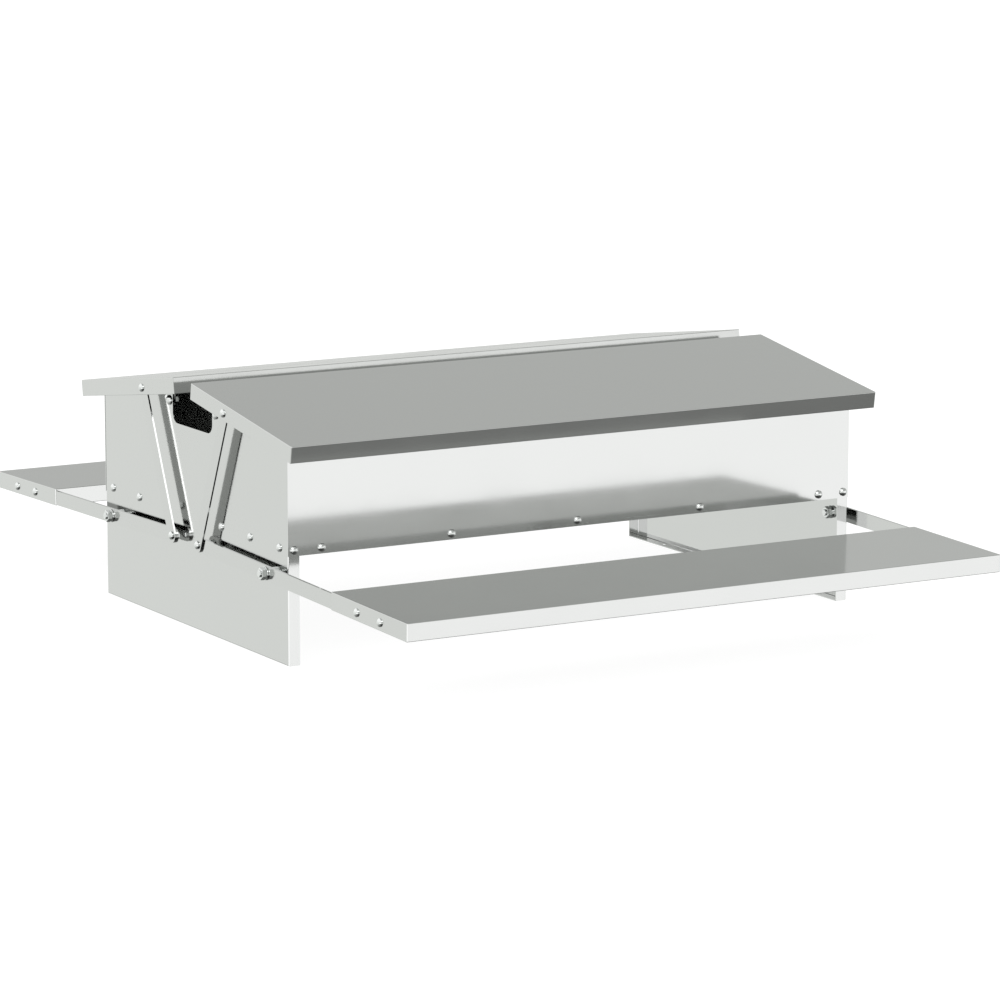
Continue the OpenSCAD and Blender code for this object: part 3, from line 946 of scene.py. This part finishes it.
@dataclass
class Fasteners:
    """All screws, pins and nuts of the feeder, as finer pieces over the plain ones of the frame.

    Sizes are in millimetres and repeat those of the frame.

    Attributes:
        end_x: Distance of the end panels' outer faces from the middle.
        wall_y: Distance of the walls' outer faces from the centre plane.
        screw_z: Height of the screws in walls and end panels.
        wall_pitch: Spacing of the wall screws along the tray.
        edge_x: Distance of the screws in the panels' folded edges from the middle.
        panel_pitch: Spacing of the end panels' screws.
        sheet: Thickness of the sheet.
        treadle_at: Distance of a treadle's pivot from the centre plane and its height.
        treadle_tilt: Fall of the treadle plate in degrees.
        plate_screws: Reach of the plate's two screws from the pivot.
        plate_seat_x: Distance of their seats from the middle.
        plate_grip: Thickness that they hold.
        pin_at: Seat of the front right link pin, mirrored for the others.
        pin_grip: Thickness that a link pin holds.
        lid_at: Distance of a lid's pivot from the centre plane and its height.
        lid_screw_at: Seat of the upper screw of the right link bar, mirrored for the others.
        lid_screw_grip: Thickness that it holds.
        lid_screw_washer: Washer under its nut.
        lid_head: Head of a lid's pivot bolt.
        lid_thread: Thread of that bolt.
        lid_nut: Nut of that bolt.
        lid_grip: Thickness that bolt and nut hold.
        lid_spacer: Spacer between the panel and the lid's bracket.
        pin_thread: Thread of a treadle's pivot pin.
        pin_nut: Outer nut of that pin.
        pin_fixed_nut: Inner nut, which is locked on the pin.
        pin_washer: Washers of that pin.
        sleeve: Spacer sleeve between the panel and the arm.
        pin_outer: Seats of the outer washer and nut, measured out from the panel's outer face.
        pin_inner: Seat of the locked nut, measured in from the panel's outer face.
        tip: How far pins and bolts stand out of their nuts.
        nut_turn: Turn of the pivot nuts in degrees.
    """

    end_x: float = 386.0
    wall_y: float = 246.2
    screw_z: float = 136.2
    wall_pitch: float = 171.25
    edge_x: float = 378.5
    panel_pitch: float = 74.6667
    sheet: float = 1.2
    treadle_at: tuple[float, float] = (209.0, 104.6)
    treadle_tilt: float = 1.4
    plate_screws: tuple[float, float] = (225.35, 279.85)
    plate_seat_x: float = 397.4
    plate_grip: float = 4.2
    pin_at: tuple[float, float, float] = (398.8, 35.0, 108.852)
    pin_grip: float = 5.6
    lid_at: tuple[float, float] = (62.0, 268.538)
    lid_screw_at: tuple[float, float, float] = (400.0, 109.873, 277.844)
    lid_screw_grip: float = 4.6
    lid_screw_washer: Washer = Washer(6.5, 2.45, 0.8)
    lid_head: DomedHead = DomedHead(6.0, 3.6, 1.2, columns=48)
    lid_thread: Thread = Thread(3.0, 1.0, 0.45)
    lid_nut: HexNut = HexNut(10.0, 5.0, 3.05)
    lid_grip: float = 5.0
    lid_spacer: Washer = Washer(6.2, 3.05, 1.2)
    pin_thread: Thread = Thread(4.0, 1.25, 0.6, columns=36)
    pin_nut: HexNut = HexNut(13.0, 6.0, 4.05)
    pin_fixed_nut: HexNut = HexNut(13.0, 6.0, 3.95)
    pin_washer: Washer = Washer(8.0, 4.05, 1.4)
    sleeve: Washer = Washer(6.5, 4.05, 6.9)
    pin_outer: tuple[float, float] = (10.5, 11.9)
    pin_inner: float = 2.6
    tip: float = 1.8
    nut_turn: float = 12.0

    def build(self, material: bpy.types.Material) -> None:
        """Builds every group of fasteners.

        Args:
            material: Finish of the fasteners.
        """
        for side in Side:
            self.side_groups(side, material)
        for end, label in ((-1, "left"), (1, "right")):
            seats = [
                Seat((end * self.end_x, sign * place * self.panel_pitch, self.screw_z), (end, 0, 0))
                for sign in (-1, 1)
                for place in (1, 2, 3)
            ]
            self.screws(f"{label}_panel_screws", "housing", PanScrew(2 * self.sheet), seats, material)
        self.treadle_pivots(material)
        self.lid_pivots(material)

    def screws(
        self, node: str, body: str, screw: PanScrew, seats: list[Seat], material: bpy.types.Material
    ) -> None:
        """Builds one group of small screws.

        Args:
            node: Node of the frame that they stand for.
            body: Body that carries them.
            screw: Kind of screw.
            seats: Places of the screws.
            material: Finish of the screws.
        """
        mesher = Mesher()
        for seat in seats:
            screw.add(mesher, seat)
        self.place(mesher, node, body, material)

    @staticmethod
    def place(mesher: Mesher, node: str, body: str, material: bpy.types.Material) -> None:
        """Turns collected surfaces into the piece that stands for a node.

        Args:
            mesher: Collector of the surfaces.
            node: Node of the frame.
            body: Body that carries the piece.
            material: Finish of the piece.
        """
        piece = mesher.piece(f"{node}.fine", material)
        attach(piece, body)
        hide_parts(node)

    def side_groups(self, side: Side, material: bpy.types.Material) -> None:
        """Builds the small screws of the front or back half.

        Args:
            side: Half of the feeder.
            material: Finish of the screws.
        """
        sign, label = side.value, side.label
        places = [place * self.wall_pitch for place in range(-2, 3)] + [-self.edge_x, self.edge_x]
        seats = [Seat((x, sign * self.wall_y, self.screw_z), (0, sign, 0)) for x in places]
        self.screws(f"{label}_wall_screws", "housing", PanScrew(2 * self.sheet), seats, material)
        tilt = math.radians(self.treadle_tilt)
        seats = [
            Seat(
                (
                    end * self.plate_seat_x,
                    sign * (self.treadle_at[0] + reach * math.cos(tilt)),
                    self.treadle_at[1] - reach * math.sin(tilt),
                ),
                (end, 0, 0),
            )
            for end in (-1, 1)
            for reach in self.plate_screws
        ]
        plate_screw, link_pin = PanScrew(self.plate_grip), PanScrew(self.pin_grip)
        lid_screw = PanScrew(self.lid_screw_grip, self.lid_screw_washer)
        self.screws(f"{label}_treadle_screws", f"{label}_treadle", plate_screw, seats, material)
        for node, body, at, screw in (
            ("link_pins", "treadle", self.pin_at, link_pin),
            ("lid_link_screws", "cover", self.lid_screw_at, lid_screw),
        ):
            seats = [Seat((end * at[0], sign * at[1], at[2]), (end, 0, 0)) for end in (-1, 1)]
            self.screws(f"{label}_{node}", f"{label}_{body}", screw, seats, material)

    def pivot_seats(self, at: tuple[float, float]) -> list[Seat]:
        """Gives the four seats of a kind of pivot.

        Args:
            at: Distance from the centre plane and height.

        Returns:
            Seats on the outer faces of the end panels.
        """
        return [
            Seat((end * self.end_x, sign * at[0], at[1]), (end, 0, 0), end * self.nut_turn)
            for end in (-1, 1)
            for sign in (-1, 1)
        ]

    def treadle_pivots(self, material: bpy.types.Material) -> None:
        """Builds pins, washers, sleeves and nuts of the treadle pivots.

        Args:
            material: Finish of the pieces.
        """
        pins, washers, sleeves, nuts = (Mesher() for _ in range(4))
        washer_out, nut_out = self.pin_outer
        inner_end, outer_end = self.pin_inner + self.pin_nut.height, nut_out + self.pin_nut.height
        for seat in self.pivot_seats(self.treadle_at):
            self.pin_thread.add(pins, seat, -inner_end - self.tip, outer_end + self.tip)
            self.pin_fixed_nut.add(pins, seat, -inner_end)
            self.pin_washer.add(washers, seat, -self.pin_inner)
            self.pin_washer.add(washers, seat, washer_out)
            self.sleeve.add(sleeves, seat, 0.0)
            self.pin_nut.add(nuts, seat, nut_out)
        for mesher, node in ((pins, "bolts"), (washers, "washers"), (sleeves, "spacers"), (nuts, "nuts")):
            self.place(mesher, f"treadle_pivot_{node}", "housing", material)

    def lid_pivots(self, material: bpy.types.Material) -> None:
        """Builds bolts, spacers and nuts of the lid pivots.

        Args:
            material: Finish of the pieces.
        """
        bolts, spacers, nuts = (Mesher() for _ in range(3))
        for seat in self.pivot_seats(self.lid_at):
            self.lid_head.add(bolts, seat)
            nut_low = -self.lid_grip - self.lid_nut.height
            self.lid_thread.add(bolts, seat, nut_low - self.tip, 0.0)
            self.lid_spacer.add(spacers, seat, -self.sheet - self.lid_spacer.height)
            self.lid_nut.add(nuts, seat, nut_low)
        for mesher, node in ((bolts, "bolts"), (spacers, "spacers"), (nuts, "nuts")):
            self.place(mesher, f"lid_pivot_{node}", "housing", material)


def main() -> None:
    """Builds the studio and dresses the feeder."""
    logging.basicConfig(level=logging.INFO, format="%(message)s")
    Studio().build()
    dresser = Dresser(frame["nodes"])
    names = sorted(frame["nodes"])
    panels = [name for name in names if name.endswith("end_panel")]
    bars = [name for name in names if name.endswith(("_arm", "_link", "_brackets"))]
    sheets = [name for name in names if name.endswith(("_wall", "_tray", "_plate", "_lid"))]
    rest = [name for name in names if name not in panels + bars + sheets]
    dresser.dress(panels, END_SHEET)
    dresser.dress(sheets, LONG_SHEET)
    dresser.dress(bars, BAR)
    dresser.dress(rest, FASTENER)
    Fasteners().build(dresser.made[FASTENER.name])
    for side in Side:
        SidePans(side).build(dresser.made[LONG_SHEET.name])
    bpy.context.scene.view_settings.view_transform = "Standard"


if __name__ == "__main__":
    main()
